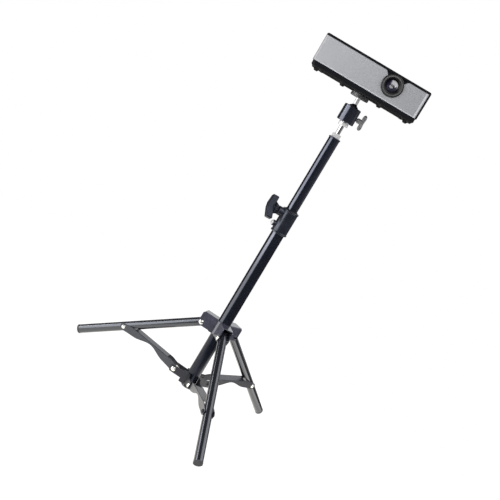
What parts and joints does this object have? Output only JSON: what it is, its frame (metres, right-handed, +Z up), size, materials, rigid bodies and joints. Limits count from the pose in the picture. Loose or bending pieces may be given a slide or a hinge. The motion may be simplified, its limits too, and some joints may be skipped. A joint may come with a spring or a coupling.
{
  "type": "portable projector stand",
  "caption": "Small folding tripod stand with a telescopic column, wing clamp and ball head, shown with a compact silver-fronted projector mounted on top.",
  "frame": {"origin": "on the floor under the column axis, in the plane of the three feet", "axes": "+Z up along the column, the projector faces -Y, +X to the right seen from the front"},
  "size_m": [0.3085, 0.3213, 0.5495],
  "materials": {
    "column_paint": "semi-gloss black paint on steel tube",
    "leg_paint": "semi-gloss black paint on steel tube",
    "sheet_paint": "satin black paint on stamped sheet",
    "rivet_steel": "bright plated rivet",
    "screw_steel": "zinc plated screw",
    "black_plastic": "moulded black plastic",
    "foot_rubber": "dark grey end plug",
    "chrome": "polished chrome",
    "head_black": "black anodised",
    "head_grey": "grey anodised",
    "projector_black": "fine textured black plastic",
    "projector_silver": "silver lacquer",
    "projector_rubber": "soft black feet",
    "lens_black": "satin black",
    "lens_grey": "ribbed grey",
    "lens_glass": "coated glass"
  },
  "bodies": {
    "column": {"outer_tube": "column_paint", "column_plug": "black_plastic", "clamp_collar": "black_plastic", "clamp_rivet": "rivet_steel", "collar_plate_1": "sheet_paint", "collar_plate_2": "sheet_paint", "collar_plate_3": "sheet_paint", "collar_pivots": "rivet_steel"},
    "hub": {"hub_plate_1": "sheet_paint", "hub_plate_2": "sheet_paint", "hub_plate_3": "sheet_paint", "hub_pivots": "rivet_steel"},
    "upper_column": {"inner_tube": "column_paint", "tube_cap": "black_plastic", "head_stud": "chrome", "head_nut": "chrome"},
    "clamp_wing": {"clamp_knob": "black_plastic", "clamp_screw": "screw_steel"},
    "head": {"ball_housing": "head_black"},
    "thumb": {"thumb_screw": "head_grey"},
    "ball": {"ball_stud": "chrome", "platform": "head_grey", "projector_base": "projector_black", "projector_case": "projector_black", "projector_rear": "projector_black", "projector_front": "projector_silver", "projector_feet": "projector_rubber", "side_grille_left": "projector_black", "side_grille_right": "projector_black", "lens_bezel": "lens_black", "focus_ring": "lens_grey", "lens_barrel": "lens_black", "lens_glass": "lens_glass"},
    "leg_1": {"leg_tube_1": "leg_paint", "foot_plug_1": "foot_rubber", "leg_rivet_1": "rivet_steel"},
    "brace_1": {"brace_1": "sheet_paint"},
    "leg_2": {"leg_tube_2": "leg_paint", "foot_plug_2": "foot_rubber", "leg_rivet_2": "rivet_steel"},
    "brace_2": {"brace_2": "sheet_paint"},
    "leg_3": {"leg_tube_3": "leg_paint", "foot_plug_3": "foot_rubber", "leg_rivet_3": "rivet_steel"},
    "brace_3": {"brace_3": "sheet_paint"}
  },
  "joints": [
    {"name": "hub_slide", "type": "slide", "parent": "column", "child": "hub", "axis": [0, 0, 1], "range_m": [0, 0.13449]},
    {"name": "leg_1_fold", "type": "hinge", "parent": "hub", "child": "leg_1", "pos_m": [0.00945, -0.02668, 0.11936], "axis": [0.9426, 0.3338, 0], "range_deg": [0, 53.6]},
    {"name": "brace_1_fold", "type": "hinge", "parent": "leg_1", "child": "brace_1", "pos_m": [0.04131, -0.11666, 0.04898], "axis": [-0.9426, -0.3338, 0], "range_deg": [0, 137.81]},
    {"name": "leg_2_fold", "type": "hinge", "parent": "hub", "child": "leg_2", "pos_m": [0.01838, 0.02152, 0.11936], "axis": [-0.7604, 0.6494, 0], "range_deg": [0, 53.6]},
    {"name": "brace_2_fold", "type": "hinge", "parent": "leg_2", "child": "brace_2", "pos_m": [0.08038, 0.09411, 0.04898], "axis": [0.7604, -0.6494, 0], "range_deg": [0, 137.81]},
    {"name": "leg_3_fold", "type": "hinge", "parent": "hub", "child": "leg_3", "pos_m": [-0.02783, 0.00516, 0.11936], "axis": [-0.1822, -0.9833, 0], "range_deg": [0, 53.6]},
    {"name": "brace_3_fold", "type": "hinge", "parent": "leg_3", "child": "brace_3", "pos_m": [-0.12169, 0.02255, 0.04898], "axis": [0.1822, 0.9833, 0], "range_deg": [0, 137.81]},
    {"name": "column_slide", "type": "slide", "parent": "column", "child": "upper_column", "axis": [0, 0, 1], "range_m": [-0.1, 0.1]},
    {"name": "clamp_knob_turn", "type": "hinge", "parent": "column", "child": "clamp_wing", "pos_m": [0, 0, 0.313], "axis": [-0.9397, -0.342, 0], "range_deg": [-180, 180]},
    {"name": "head_pan", "type": "hinge", "parent": "upper_column", "child": "head", "pos_m": [0, 0, 0.4615], "axis": [0, 0, 1], "range_deg": [-180, 180]},
    {"name": "thumb_screw_turn", "type": "hinge", "parent": "head", "child": "thumb", "pos_m": [0, 0, 0.4722], "axis": [1, 0, 0], "range_deg": [-180, 180]},
    {"name": "ball_tilt", "type": "hinge", "parent": "head", "child": "ball", "pos_m": [0, 0, 0.4796], "axis": [1, 0, 0], "range_deg": [-30, 30]}
  ],
  "couplings": [
    {"joint": "leg_1_fold", "follows": "hub_slide", "rad_per_m": 6.9559},
    {"joint": "brace_1_fold", "follows": "hub_slide", "rad_per_m": 17.884},
    {"joint": "leg_2_fold", "follows": "hub_slide", "rad_per_m": 6.9559},
    {"joint": "brace_2_fold", "follows": "hub_slide", "rad_per_m": 17.884},
    {"joint": "leg_3_fold", "follows": "hub_slide", "rad_per_m": 6.9559},
    {"joint": "brace_3_fold", "follows": "hub_slide", "rad_per_m": 17.884}
  ]
}
